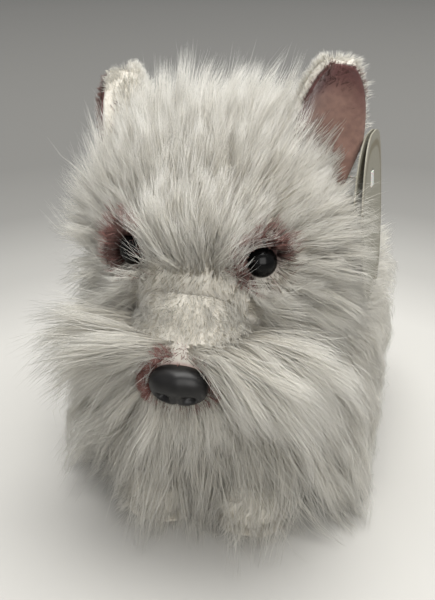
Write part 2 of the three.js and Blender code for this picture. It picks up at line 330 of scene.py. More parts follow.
def makePads():
    under = -padSettings["undersize"]
    pads = {
        "torsoPad": formMesh("torsoPad", torsoForm, under),
        "headPad": formMesh("headPad", headForm, under),
        "muzzlePad": joinAll(formMesh("muzzlePad", muzzleForm, under), formMesh("bridge", bridgeForm, under),
                             formMesh("lip", lipForm, under)),
    }
    for name, cell in (("torsoPad", 5), ("headPad", 4.5), ("muzzlePad", 3)):
        remesh(pads[name], cell)
    for leg in pawReach:
        column, paw = legForms(leg)
        ob = joinAll(formMesh(leg + "LegPad", column, under / 2, 24), formMesh("paw", paw, under / 2, 24))
        remesh(ob, 3)
        pads[leg] = ob
    pads["tail"] = makeTail()
    remesh(pads["tail"], 2.5)
    cap = padSettings["cap"]
    inflate([(ob, cap if key.endswith("Pad") else cap / 2) for key, ob in pads.items()])
    for ob in pads.values():
        refine(ob)
    p = pointsOf(pads["headPad"])
    for centre in eyeCentres.values():  # the washers pull the eyes into the face
        gap = np.linalg.norm((p - centre)[:, (0, 2)], axis=1)
        dent = padSettings["eyeDent"] * np.exp(-(gap / padSettings["dentWidth"]) ** 2)
        dent = dent * (p[:, 1] < headForm["centre"][1])
        p = p - outward(p, headForm) * dent[:, None]
    setPoints(pads["headPad"], p)
    cutFlat(pads["torsoPad"], neckPoint - neckNormal * padSettings["seam"] / 2, neckNormal, False)
    cutFlat(pads["headPad"], neckPoint + neckNormal * padSettings["seam"] / 2, neckNormal, True)
    carve(pads["torsoPad"], formMesh("socket", form(tailRoot, tailSettings["socket"]), 0, 24))
    carve(pads["muzzlePad"], formMesh("headCut", headForm, 0.2))
    for leg in pawReach:
        carve(pads[leg], formMesh("torsoCut", torsoForm, 0.35))
        cutFlat(pads[leg], (0, 0, legSettings["soleThickness"] + 0.3), (0, 0, 1), True)
    return pads


pads = makePads()
print("pads made:", {k: len(ob.data.polygons) for k, ob in pads.items()})


# soles: small stuffed velour pads under the feet
def makeSoles():
    soles = {}
    for leg in pawReach:
        low, high = boxOf(leg + "_sole_pad")
        middle, half = (low + high) / 2, (high - low) / 2
        ob = formMesh(leg + "Sole", form(middle, half, 3.2), 0, 28)
        p = pointsOf(ob)
        flat = p[:, 2] < middle[2]
        p[flat, 2] = np.maximum(low[2], middle[2] - (middle[2] - p[flat, 2]) * 1.25)
        setPoints(ob, p)
        refine(ob)
        soles[leg] = ob
    return soles


soles = makeSoles()
print("soles made")


# ears: a padded back and a velour lining, both cupped
earShapes = {
    "left": {"rise": (0.15, 0.03, 1), "turn": 45, "height": 44.5},
    "right": {"rise": (-0.2, 0.03, 1), "turn": -106, "height": 39},
}
earCloth = {
    "width": 32.5, "cup": 6, "hinge": 7, "backThickness": 2.2, "backMargin": 0.8, "liningDepth": 0.9,
    "liningThickness": 0.9, "liningMargin": 1.0, "padding": 0.5,
}


def earFrame(side):
    e = earShapes[side]
    rise = unit(np.array(e["rise"], float))
    a = math.radians(e["turn"])
    facing = np.array((math.sin(a), -math.cos(a), 0.0))
    facing = unit(facing - rise * (facing @ rise))
    base = np.array(jointOf(side + "_ear_flex")["pos_m"]) / mm - rise * earCloth["hinge"]
    return base, rise, facing, np.cross(rise, facing), e["height"]


def earHalfWidth(t, margin=0.0):  # narrow at the seam, full at 0.4 of the height, round at the tip
    half = (earCloth["width"] / 2 - margin) * np.sqrt(np.maximum(1.03 - np.clip(t, 0, 1) ** 3.2, 0.02))
    return half * (0.62 + 0.38 * np.clip(t / 0.4, 0, 1))


def earPoint(side, s, t, margin):  # s from -1 to 1 across, t from 0 to 1 up the ear
    base, rise, facing, across, height = earFrame(side)
    s, t = s[..., None], t[..., None]
    cup = earCloth["cup"] * s * s * (1 - 0.3 * t)
    return base + rise * t * (height - margin) + across * s * earHalfWidth(t, margin) + facing * cup


def earGrid(name, side, low, high, margin):
    onlySelect(None)
    bpy.ops.mesh.primitive_grid_add(x_subdivisions=22, y_subdivisions=26, size=2)
    ob = bpy.context.object
    ob.name = name
    p = pointsOf(ob) * mm
    s, t = p[:, 0], (p[:, 1] + 1) / 2
    setPoints(ob, earPoint(side, s, low + (high - low) * t, margin))
    return ob


def makeEars():
    ears = {}
    for side in sideSigns:
        back = earGrid(side + "EarBack", side, 0.02, 0.985, earCloth["backMargin"])
        middle = back.data.polygons[len(back.data.polygons) // 2]
        forward = np.array(middle.normal) @ earFrame(side)[2] > 0  # the back thickens away from the lining
        thicken(back, earCloth["backThickness"], -1 if forward else 1)
        remesh(back, 1.3)
        ears[side + "Back"] = back
    inflate([(ears[side + "Back"], earCloth["padding"]) for side in sideSigns])
    for side in sideSigns:
        shadeSmooth(ears[side + "Back"])
        lining = earGrid(side + "EarLining", side, 0.03, 0.975, earCloth["liningMargin"])
        setPoints(lining, pointsOf(lining) + earFrame(side)[2] * earCloth["liningDepth"])
        thicken(lining, earCloth["liningThickness"])
        ears[side + "Lining"] = lining
    return ears


ears = makeEars()
print("ears made")


# coat: every fibre is a thin three-sided tube, and fibres gather into clumps towards their tips
palette = {
    "backing": (0.70, 0.66, 0.58), "root": (0.86, 0.83, 0.76), "tip": (0.975, 0.965, 0.93),
    "maroonRoot": (0.07, 0.034, 0.03), "maroonTip": (0.25, 0.145, 0.125),
    "blushRoot": (0.26, 0.10, 0.09), "blushTip": (0.45, 0.24, 0.21),
}
legSolids = [f for leg in pawReach for f in legForms(leg)]
eyeGuard = {side: form(eyeCentres[side], (5.6, 5.6, 5.4)) for side in eyeCentres}
noseGuard = form(noseCentre, (10.2, 7.5, 7.2))
faceWindows = [  # point, way it looks, radius and reach of each space that the strands leave free
    (eyeCentres["left"] + (0.2, 0, -0.2), unit((0.2, -0.9, 0.35)), 3.9, 30),
    (eyeCentres["right"] + (0, 0, 0.2), unit((0, -0.9, 0.35)), 3.9, 30),
    (noseCentre - (1, 0, 0.5), unit((0.1, -0.9, 0.35)), 8.6, 24),
]
earSpots = [((37.5, -11, 147), 8), ((38, -11, 139), 6.5), ((39.5, -11, 131), 4.5), ((40.5, -11, 124), 3)]
earWindows = [(np.array(place), unit((0.2154, -0.8702, 0.4431)), radius, 45) for place, radius in earSpots]
limitLow = np.array((-62.0, -97.0, floorGap))
limitHigh = np.array((62.0, 97.0, 172.0))
limitSoft = np.array((51.5, 89.0, 300.0))  # from here outwards the strands draw in
coatDefaults = {"swirl": 0.25, "wild": 0.05, "crossing": 0.02, "trim": [], "margin": 0.01}
strandSettings = {"sunk": 0.3, "follow": 0.35, "turns": 5, "wildStray": 0.35, "frizz": 0.12, "trimTo": 0.45}


def wander(p, scale, seed, waves=4):  # slow change of direction over the coat, the same for neighbours
    rng = np.random.default_rng(seed)
    out = np.zeros_like(p)
    for _ in range(waves):
        k = rng.normal(size=(3, 3)) / scale
        out += np.sin(p @ k + rng.uniform(0, 6.28, 3))
    return out / waves


def scatter(skins, count, where, rng):  # roots and outward ways, spread evenly by area where the coat grows
    points, normals, areas = [], [], []
    for ob in skins:
        me = ob.data
        me.calc_loop_triangles()
        tri = np.empty(len(me.loop_triangles) * 3, int)
        me.loop_triangles.foreach_get("vertices", tri)
        p = pointsOf(ob)[tri.reshape(-1, 3)]
        n = np.cross(p[:, 1] - p[:, 0], p[:, 2] - p[:, 0])
        area = np.linalg.norm(n, axis=1)
        points.append(p), normals.append(n / np.maximum(area, 1e-9)[:, None]), areas.append(area / 2)
    p, n, area = np.concatenate(points), np.concatenate(normals), np.concatenate(areas)
    keep = where(p.mean(1), n) * area
    pick = rng.choice(len(p), count, p=keep / keep.sum())
    a, b = rng.random(count), rng.random(count)
    flip = a + b > 1
    a[flip], b[flip] = 1 - a[flip], 1 - b[flip]
    t = p[pick]
    return t[:, 0] + (t[:, 1] - t[:, 0]) * a[:, None] + (t[:, 2] - t[:, 0]) * b[:, None], n[pick]


def clearOf(p, solids, margin):
    for f in solids:
        p = pushOut(p, f, margin)
    tufts = 2.5 * np.sin(0.33 * p[..., 2] + 0.21 * p[..., 1] + 1.1 * np.sin(0.15 * p[..., 0]))
    over = np.maximum(np.abs(p) - limitSoft - tufts[..., None] * (1, 0, 0), 0)
    p = p - np.sign(p) * (over - 8 * (1 - np.exp(-over / 8)))
    return np.clip(p, limitLow, limitHigh)


def growPaths(root, normal, length, lean, spec):
    steps, follow = spec["points"] - 1, strandSettings["follow"]
    p = root - normal * strandSettings["sunk"]
    path = [p]
    d = unit(normal * spec["lift"] + spec["flow"](root) + lean)
    for k in range(steps):
        t = (k + 1) / steps
        d = unit(d * (1 - follow) + unit(spec["flow"](p) + lean) * follow + (0, 0, -spec["droop"] * t))
        p = clearOf(p + d * (length / steps)[:, None], spec["solids"], spec["margin"] * (1 + 2 * t))
        path.append(p)
    return np.stack(path, 1)


def nearestGuide(root, guides, batch=64):  # the clump that each strand belongs to
    best, where = np.full(len(root), 1e9), np.zeros(len(root), int)
    for i in range(0, len(guides), batch):
        gap = np.linalg.norm(root[:, None] - guides[None, i:i + batch], axis=2)
        j = gap.argmin(1)
        d = gap[np.arange(len(root)), j]
        closer = d < best
        best[closer], where[closer] = d[closer], i + j[closer]
    return where


def crosses(path, windows):  # strands that would hang in front of an eye, the nose or the left ear
    crossed = np.zeros(len(path), bool)
    fine = np.concatenate([path, (path[:, 1:] + path[:, :-1]) / 2], 1)
    for centre, way, radius, reach in windows:
        q = fine - centre
        depth = q @ way
        gap = np.linalg.norm(q - depth[..., None] * way, axis=2)
        crossed |= ((gap < radius + 0.12 * np.maximum(depth, 0)) & (depth > -1) & (depth < reach)).any(1)
    return crossed


def growCoat(name, body, skins, spec, seed, material):
    spec = {**coatDefaults, **spec}
    rng, count = np.random.default_rng(seed), spec["count"]
    root, normal = scatter(skins, count, spec["where"], rng)
    guideCount = max(8, count // spec["clump"])
    guide = nearestGuide(root, root[:guideCount])
    guide[:guideCount] = np.arange(guideCount)
    clumpLean = rng.normal(size=(guideCount, 3)) * spec["stray"]
    clumpLong = rng.uniform(1 - spec["uneven"], 1 + spec["uneven"], guideCount)
    lean = clumpLean[guide] + wander(root, 16, seed) * spec["swirl"]
    lean += rng.normal(size=(count, 3)) * spec["stray"] * 0.5
    length = spec["length"](root) * clumpLong[guide] * rng.uniform(0.82, 1.1, count)
    wild = rng.random(count) < spec["wild"]
    lean[wild] += rng.normal(size=(wild.sum(), 3)) * strandSettings["wildStray"]
    path = growPaths(root, normal, length, lean, spec)
    t = np.linspace(0, 1, spec["points"])
    pull = (spec["pull"] * smooth(0.05, 0.9, t))[None, :, None] * rng.uniform(0.7, 1.0, count)[:, None, None]
    pull = np.where(wild[:, None, None], pull * 0.15, pull)
    pull[:guideCount] = 0
    path = path + (path[guide] - path) * pull
    bend = rng.uniform(0, 6.28, (guideCount, 3))[guide] + rng.normal(size=(count, 3)) * 0.5
    wave = np.sin(bend[:, None] + (t * strandSettings["turns"])[None, :, None]) - np.sin(bend[:, None])
    path = path + wave * (t * spec["wave"])[None, :, None]
    path = path + rng.normal(size=path.shape) * (t * strandSettings["frizz"])[None, :, None]
    path[:, 1:] = np.clip(path[:, 1:], limitLow, limitHigh)
    width = spec["width"] * rng.uniform(0.75, 1.2, count)
    short = crosses(path, spec["trim"])
    path[short] = path[short][:, :1] + (path[short] - path[short][:, :1]) * strandSettings["trimTo"]
    stay = ~crosses(path, faceWindows) | (rng.random(count) < spec["crossing"])
    ob = tubeMesh(name, path[stay], normal[stay], width[stay], t, rng.random(stay.sum()))
    ob.data.materials.append(material)
    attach(ob, body)
    return ob


def tubeMesh(name, path, normal, width, t, shade):  # every strand tapers from its root to a point
    count, points, _ = path.shape
    rings = points - 1
    along = unit(np.gradient(path, axis=1))
    side = unit(np.cross(along, normal[:, None]) + 1e-6)
    other = np.cross(side, along)
    r = width[:, None] * (1 - 0.75 * t[:rings] ** 1.6)[None]
    ring = []
    for corner in range(3):
        a = corner * 2 * math.pi / 3
        offset = side[:, :rings] * math.cos(a) + other[:, :rings] * math.sin(a)
        ring.append(path[:, :rings] + offset * r[..., None])
    verts = np.concatenate([np.stack(ring, 2).reshape(count, rings * 3, 3), path[:, -1:]], 1)
    each = rings * 3 + 1
    quads = [(k * 3 + j, k * 3 + (j + 1) % 3, k * 3 + 3 + (j + 1) % 3, k * 3 + 3 + j)
             for k in range(rings - 1) for j in range(3)]
    last = rings * 3 - 3
    tris = [(last + j, last + (j + 1) % 3, last + 3) for j in range(3)] + [(2, 1, 0)]
    shift = np.arange(count)[:, None, None] * each
    quads = (np.array(quads)[None] + shift).reshape(-1, 4) if rings > 1 else np.zeros((0, 4), int)
    tris = (np.array(tris)[None] + shift).reshape(-1, 3)
    me = bpy.data.meshes.new(name)
    me.vertices.add(count * each)
    me.vertices.foreach_set("co", (verts * mm).ravel())
    me.loops.add(quads.size + tris.size)
    me.loops.foreach_set("vertex_index", np.concatenate([quads.ravel(), tris.ravel()]).astype(np.int32))
    starts = np.concatenate([np.arange(len(quads)) * 4, quads.size + np.arange(len(tris)) * 3])
    me.polygons.add(len(starts))
    me.polygons.foreach_set("loop_start", starts.astype(np.int32))
    me.polygons.foreach_set("use_smooth", np.ones(len(starts), bool))
    me.update(calc_edges=True)
    ob = bpy.data.objects.new(name, me)
    bpy.context.collection.objects.link(ob)
    paint(ob, "along", np.tile(np.append(np.repeat(t[:rings], 3), 1.0), count))
    paint(ob, "shade", np.repeat(shade, each))
    return ob


# materials: node patterns on object coordinates or on the piece's own attributes
def newMaterial(name):
    mat = bpy.data.materials.new(name)
    mat.use_nodes = True
    nodes, links = mat.node_tree.nodes, mat.node_tree.links
    return mat, nodes, links, nodes["Principled BSDF"]


def setInputs(node, values):
    for name, value in values.items():
        node.inputs[name].default_value = value


def noiseNode(nodes, links, scale, detail=3.0):
    place = nodes.new("ShaderNodeTexCoord")
    tex = nodes.new("ShaderNodeTexNoise")
    setInputs(tex, {"Scale": scale, "Detail": detail})
    links.new(place.outputs["Object"], tex.inputs["Vector"])
    return tex.outputs["Fac"]


def rampNode(nodes, links, fac, stops):
    ramp = nodes.new("ShaderNodeValToRGB")
    while len(ramp.color_ramp.elements) < len(stops):
        ramp.color_ramp.elements.new(0.5)
    for element, (place, colour) in zip(ramp.color_ramp.elements, stops):
        element.position, element.color = place, (*colour, 1)
    links.new(fac, ramp.inputs["Fac"])
    return ramp.outputs["Color"]


def attributeNode(nodes, name):
    node = nodes.new("ShaderNodeAttribute")
    node.attribute_name = name
    return node.outputs["Fac"]


def rangeNode(nodes, links, value, low, high, ends="To"):
    spread = nodes.new("ShaderNodeMapRange")
    setInputs(spread, {ends + " Min": low, ends + " Max": high})
    links.new(value, spread.inputs["Value"])
    return spread.outputs["Result"]


def mixNode(nodes, links, amount, colour, tint):
    mix = nodes.new("ShaderNodeMix")
    mix.data_type = "RGBA"
    mix.inputs["B"].default_value = (*tint, 1)
    links.new(amount, mix.inputs["Factor"])
    links.new(colour, mix.inputs["A"])
    return mix.outputs["Result"]


def bumpNode(nodes, links, height, strength, distance, shader):
    bump = nodes.new("ShaderNodeBump")
    setInputs(bump, {"Strength": strength, "Distance": distance * mm})
    links.new(height, bump.inputs["Height"])
    links.new(bump.outputs["Normal"], shader.inputs["Normal"])


def fibreMaterial(name, root, tip, glow):  # darker at the root, each strand a little lighter or darker
    mat, nodes, links, shader = newMaterial(name)
    middle = [r + (t - r) * 0.7 for r, t in zip(root, tip)]
    colour = rampNode(nodes, links, attributeNode(nodes, "along"), [(0.0, root), (0.35, middle), (1.0, tip)])
    vary = nodes.new("ShaderNodeHueSaturation")
    links.new(rangeNode(nodes, links, attributeNode(nodes, "shade"), 0.86, 1.06), vary.inputs["Value"])
    links.new(colour, vary.inputs["Color"])
    links.new(vary.outputs["Color"], shader.inputs["Base Color"])
    setInputs(shader, {"Roughness": 0.5, "Specular IOR Level": 0.35})
    through = nodes.new("ShaderNodeBsdfTranslucent")
    links.new(vary.outputs["Color"], through.inputs["Color"])
    both = nodes.new("ShaderNodeMixShader")
    both.inputs["Fac"].default_value = glow
    links.new(shader.outputs["BSDF"], both.inputs[1])
    links.new(through.outputs["BSDF"], both.inputs[2])
    links.new(both.outputs["Shader"], nodes["Material Output"].inputs["Surface"])
    return mat


def clothMaterial(name, dark, light, scale, bump):
    mat, nodes, links, shader = newMaterial(name)
    fuzz = noiseNode(nodes, links, scale, 6)
    links.new(rampNode(nodes, links, fuzz, [(0.3, dark), (0.7, light)]), shader.inputs["Base Color"])
    setInputs(shader, {"Roughness": 0.9, "Sheen Weight": 0.4, "Sheen Roughness": 0.6})
    bumpNode(nodes, links, fuzz, 0.8, bump, shader)
    return mat


def coatBackingMaterial():  # off-white knit, brushed dark round the eyes and pink round the nose
    mat, nodes, links, shader = newMaterial("coat backing")
    fuzz = noiseNode(nodes, links, 900, 6)
    colour = rampNode(nodes, links, fuzz, [(0.3, palette["backing"]), (0.7, palette["root"])])
    for name, tint in (("blush", palette["blushTip"]), ("dark", palette["maroonRoot"])):
        colour = mixNode(nodes, links, attributeNode(nodes, name), colour, tint)
    links.new(colour, shader.inputs["Base Color"])
    setInputs(shader, {"Roughness": 0.9, "Sheen Weight": 0.3})
    bumpNode(nodes, links, fuzz, 0.8, 0.5, shader)
    return mat


def glossMaterial(name, colour, roughness, shine=0.35):  # moulded plastic with faint smudges
    mat, nodes, links, shader = newMaterial(name)
    smudge = noiseNode(nodes, links, 260, 4)
    links.new(rangeNode(nodes, links, smudge, roughness * 0.7, roughness * 1.6), shader.inputs["Roughness"])
    tint = [(0.3, [c * 0.8 for c in colour]), (0.7, [c * 1.2 for c in colour])]
    links.new(rampNode(nodes, links, smudge, tint), shader.inputs["Base Color"])
    setInputs(shader, {"Specular IOR Level": shine})
    return mat


whiteFibre = fibreMaterial("white pile", palette["root"], palette["tip"], 0.6)
maroonFibre = fibreMaterial("maroon brushed pile", palette["maroonRoot"], palette["maroonTip"], 0.2)
blushFibre = fibreMaterial("blush brushed pile", palette["blushRoot"], palette["blushTip"], 0.25)
backing = coatBackingMaterial()
soleVelour = clothMaterial("sole velour", (0.55, 0.5, 0.42), (0.72, 0.68, 0.6), 2600, 0.15)
nosePlastic = glossMaterial("nose plastic", (0.010, 0.0095, 0.0095), 0.33)
eyePlastic = glossMaterial("eye plastic", (0.003, 0.003, 0.003), 0.16, 0.2)
washerPlastic = glossMaterial("washer plastic", (0.62, 0.6, 0.55), 0.4)


# pads and soles ride on their bodies and stand for the CAD's plain soft solids
padNodes = {
    "torsoPad": ("torso", ["torso_left_panel", "torso_right_panel", "belly_panel", "torso_stuffing"]),
    "headPad": ("head", ["head_gusset", "head_left_panel", "head_right_panel", "chin_panel",
                         "head_stuffing"]),
    "muzzlePad": ("head", ["muzzle_panel"]),
    "tail": ("tail", ["tail_cover", "tail_stuffing"]),
}
for leg in pawReach:
    padNodes[leg] = ("torso", [leg + "_leg_cover", leg + "_leg_stuffing"])
def eyeGap(p):  # distance to the nearer eye
    return np.min([np.linalg.norm(p - c, axis=1) for c in eyeCentres.values()], 0)


p = pointsOf(pads["headPad"])
above = smooth(-5, 1, p[:, 2] - eyeCentres["left"][2])
paint(pads["headPad"], "dark", smooth(9, 6, eyeGap(p)) * (0.35 + 0.65 * above))
p = pointsOf(pads["muzzlePad"])
gap = np.linalg.norm((p - noseCentre) / (1.45, 1, 1), axis=1)
paint(pads["muzzlePad"], "blush", smooth(10.5, 7.5, gap + smooth(-2, 6, p[:, 2] - noseCentre[2]) * 2))
for key, (body, nodes) in padNodes.items():
    dress(pads[key], backing, body, "long_pile", *nodes)
for leg, ob in soles.items():
    dress(ob, soleVelour, "torso", "short_pile", leg + "_sole_pad")


# head coat: it runs outwards from a parting between the eyes
faceCentre = headForm["centre"] + (0, -34, -6)
headCoat = {"long": 23, "crown": 25, "besideEyes": 0.24, "neckBare": 1.5}


def headFlow(p):
    q = p - headForm["centre"]
    n = outward(p, headForm)
    v = unit(p - faceCentre)
    v = v - n * ((v * n).sum(1) * 0.8)[:, None]
    up = smooth(10, 32, q[:, 2])
    low = smooth(6, -24, q[:, 2]) * smooth(6, 26, np.abs(q[:, 0]))
    v += up[:, None] * (0.16, 0.05, 0.45)
    v[:, 0] += low * 0.2 * np.sign(q[:, 0])
    v[:, 2] -= low * 0.45
    highRight = smooth(-8, -30, q[:, 0]) * smooth(-6, 12, q[:, 2])
    v += highRight[:, None] * (-0.3, -0.1, 0.25)
    v[:, 2] -= smooth(8, 30, q[:, 0]) * 0.2
    v = unit(v)
    for centre in eyeCentres.values():  # away from each eye all round
        near = smooth(12, 5, np.linalg.norm(p - centre, axis=1))[:, None]
        v = v * (1 - near) + unit((p - centre) * (1, 0.3, 1)) * near
    return unit(v)


def headLength(p):
    q = p - headForm["centre"]
    length = headCoat["long"] + (headCoat["crown"] - headCoat["long"]) * smooth(14, 34, q[:, 2])
    return length * (headCoat["besideEyes"] + (1 - headCoat["besideEyes"]) * smooth(5, 17, eyeGap(p)))


def beyondNeck(p):  # distance from the neck seam, towards the head
    return (p - neckPoint) @ neckNormal


def headZones(p):
    q = p - headForm["centre"]
    valid = (beyondNeck(p) > headCoat["neckBare"]) & (level(p, muzzleForm) > 1) & (level(p, bridgeForm) > 1)
    valid = valid * smooth(4.6, 8.0, eyeGap(p))
    face = (q[:, 1] < -20) & (np.abs(q[:, 0]) < 31) & (q[:, 2] > -10) & (q[:, 2] < 18)
    return q, valid, face


def onCrown(p, n):
    q, valid, face = headZones(p)
    return valid * (~face & (q[:, 2] >= 16) & (q[:, 1] < 14))


def onNape(p, n):
    q, valid, face = headZones(p)
    return valid * (q[:, 1] >= 14)


def onCheek(side):
    def where(p, n):
        q, valid, face = headZones(p)
        return valid * (~face & (q[:, 2] < 16) & (q[:, 1] < 14) & (q[:, 0] * side > 0))
    return where


def onBrow(p, n):
    q, valid, face = headZones(p)
    return valid * face


def muzzleZones(p):
    local = (p - muzzleForm["centre"]) @ muzzleForm["turn"]
    outside = (level(p, headForm) > 0.97) & (level(p, noseGuard) > 1.0)
    middle = (np.abs(local[:, 0]) < 13) & (local[:, 2] > 4) & (local[:, 1] > -9)
    return local, outside, (level(p, bridgeForm) < 1.06) | middle


def onBridge(p, n):
    local, outside, bridge = muzzleZones(p)
    lip = (level(p, noseGuard) < 1.8) | (level(p, lipForm) < 1.12)
    return ((level(p, headForm) > 0.93) & bridge & (level(p, noseGuard) > 1)) | (outside & lip)


def bridgeFlow(p):
    return np.tile(unit((0.1, -0.4, -0.8)), (len(p), 1))


def onMoustache(side):
    def where(p, n):
        local, outside, bridge = muzzleZones(p)
        ring = level(p, noseGuard) > 1.3 + (1.3 if side < 0 else 0.7) * smooth(3, -4, (p - noseCentre)[:, 2])
        upper = (local[:, 0] * side > 1) & (local[:, 2] > -5)
        return outside & ring & ~bridge & (level(p, lipForm) > 1.1) & upper
    return where


def moustacheFlow(side):
    def flow(p):
        q = p - muzzleForm["centre"]
        v = np.stack([np.full(len(p), side * 1.0), np.full(len(p), -0.12), np.zeros(len(p))], 1)
        if side < 0:  # the right side stands out level, its lower strands fall
            v[:, 2] = 0.1 - 0.8 * smooth(5, -9, q[:, 2])
        else:  # the left side falls past the nose
            v[:, 2] = -0.12 - 0.75 * smooth(8, -8, q[:, 2])
            v[:, 1] = -0.18
        return unit(v)
    return flow


def moustacheLength(p):
    low = smooth(2, -9, p[:, 2] - muzzleForm["centre"][2])
    return (25 + np.minimum(14, np.abs(p[:, 0]) * 0.9)) * (1 - 0.4 * low)


def onBeard(p, n):
    local = (p - muzzleForm["centre"]) @ muzzleForm["turn"]
    q = p - headForm["centre"]
    under = (level(p, headForm) > 0.99) & (local[:, 2] < -4)
    under = under & (level(p, lipForm) > 1.1) & (level(p, noseGuard) > 2.8)
    chin = (level(p, headForm) < 1.01) & (np.abs(q[:, 0]) < 22) & (q[:, 2] < -14) & (q[:, 1] < -14)
    clear = np.linalg.norm((p - noseCentre) * (1, 0.6, 1), axis=1) > 15
    return (under | chin) & clear & (beyondNeck(p) > headCoat["neckBare"])


def beardFlow(p):
    v = np.stack([p[:, 0] / 40, np.full(len(p), -0.25), np.full(len(p), -1.0)], 1)
    return unit(v)


def evenly(value):
    return lambda p: np.full(len(p), float(value))


headSolids = [headForm, muzzleForm, bridgeForm, lipForm, *eyeGuard.values(), noseGuard, torsoForm]
headPads = [pads["headPad"], pads["muzzlePad"]]
cheek = {
    "count": 9700, "points": 4, "flow": headFlow, "length": headLength, "clump": 18, "pull": 0.55,
    "uneven": 0.4, "wave": 1.2, "width": 0.074,
}
moustache = {
    "count": 4800, "points": 5, "length": moustacheLength, "lift": 0.4, "clump": 22, "pull": 0.45,
    "stray": 0.13, "uneven": 0.3, "width": 0.085,
}
headPieces = {
    "crownPile": {
        "count": 9900, "points": 4, "where": onCrown, "flow": headFlow, "length": headLength, "lift": 0.5,
        "droop": 0.05, "clump": 18, "pull": 0.5, "stray": 0.11, "uneven": 0.32, "wave": 1.1, "width": 0.072,
    },
    "leftCheekPile": {**cheek, "where": onCheek(1), "lift": 0.55, "droop": 0.18, "stray": 0.2},
    "rightCheekPile": {**cheek, "where": onCheek(-1), "lift": 0.6, "droop": 0.12, "stray": 0.22},
    "browPile": {
        "count": 7400, "points": 4, "where": onBrow, "flow": headFlow, "length": headLength, "lift": 0.6,
        "droop": 0.05, "clump": 22, "pull": 0.35, "stray": 0.2, "uneven": 0.3, "wave": 0.7, "width": 0.07,
        "swirl": 0.5, "crossing": 0.1,
    },
    "bridgePile": {
        "count": 5600, "points": 4, "where": onBridge, "flow": bridgeFlow, "length": evenly(3.2),
        "lift": 0.35, "droop": 0.05, "clump": 14, "pull": 0.2, "stray": 0.3, "uneven": 0.15, "wave": 0.15,
        "width": 0.085,
    },
    "leftMoustache": {
        **moustache, "where": onMoustache(1), "flow": moustacheFlow(1), "droop": 0.14, "wave": 1.8,
        "crossing": 0.07,
    },
    "rightMoustache": {
        **moustache, "where": onMoustache(-1), "flow": moustacheFlow(-1), "droop": 0.06, "wave": 1.4,
    },
    "beardPile": {
        "count": 1500, "points": 5, "where": onBeard, "flow": beardFlow, "length": evenly(6), "lift": 0.4,
        "droop": 0.1, "clump": 30, "pull": 0.45, "stray": 0.2, "uneven": 0.35, "wave": 1.0, "width": 0.085,
    },
    "napePile": {
        "count": 3800, "points": 4, "where": onNape, "flow": headFlow, "length": headLength, "lift": 0.5,
        "droop": 0.2, "clump": 26, "pull": 0.5, "stray": 0.2, "uneven": 0.2, "wave": 0.7, "width": 0.13,
    },
}
for seed, (name, spec) in enumerate(headPieces.items(), 11):
    growCoat(name, "head", headPads, {**spec, "solids": headSolids, "trim": earWindows}, seed, whiteFibre)
print("head coat grown")


# body coat: down from the neck and the spine, spreading at the floor
def torsoZones(p):
    q = p - torsoForm["centre"]
    valid = (beyondNeck(p) < -headCoat["neckBare"]) & (level(p, headForm) > 0.94)
    for f in legSolids:
        valid &= level(p, f) > 1
    return q, valid & (np.linalg.norm(p - tailRoot, axis=1) > 9)


def onChest(p, n):
    q, valid = torsoZones(p)
    return valid & (q[:, 1] < -30)


def onFlank(side):
    def where(p, n):
        q, valid = torsoZones(p)
        return valid & (q[:, 1] >= -30) & (n[:, 0] * side > 0.5)
    return where


def onBack(p, n):
    q, valid = torsoZones(p)
    return valid & (q[:, 1] >= -30) & (np.abs(n[:, 0]) <= 0.5) & (n[:, 2] > -0.3)


def onBelly(p, n):
    q, valid = torsoZones(p)
    return valid & (q[:, 1] >= -30) & (np.abs(n[:, 0]) <= 0.5) & (n[:, 2] <= -0.3)


def torsoFlow(p):
    q = p - torsoForm["centre"]
    front, top = smooth(-15, -50, q[:, 1]), smooth(14, 34, q[:, 2])
    skirt = smooth(26, 6, p[:, 2])
    v = np.stack([q[:, 0] / 90, 0.3 * (1 - front) - 0.12 * front, -(1 - top) - 0.1], 1)
    v += top[:, None] * np.stack([q[:, 0] / 40, np.full(len(p), 0.8), np.full(len(p), -0.1)], 1)
    v[:, 0] += front * 0.45 * smooth(12, 34, np.abs(q[:, 0])) * np.sign(q[:, 0])
    spread = unit(q * (1.2, 1, 0))
    return unit(v + spread * (skirt * (0.9 - 0.45 * front))[:, None])


def onBreast(p, n):
    return onChest(p, n) & (np.abs(p[:, 0]) < 34) & (p[:, 2] > 30) & (p[:, 2] < 60)


def wispFlow(p):  # long loose locks that hang clear of the paws
    return unit(np.stack([p[:, 0] / 70, np.full(len(p), -0.3), np.full(len(p), -1.0)], 1))


def chestLength(p):
    return 32 + 12 * smooth(56, 34, p[:, 2])


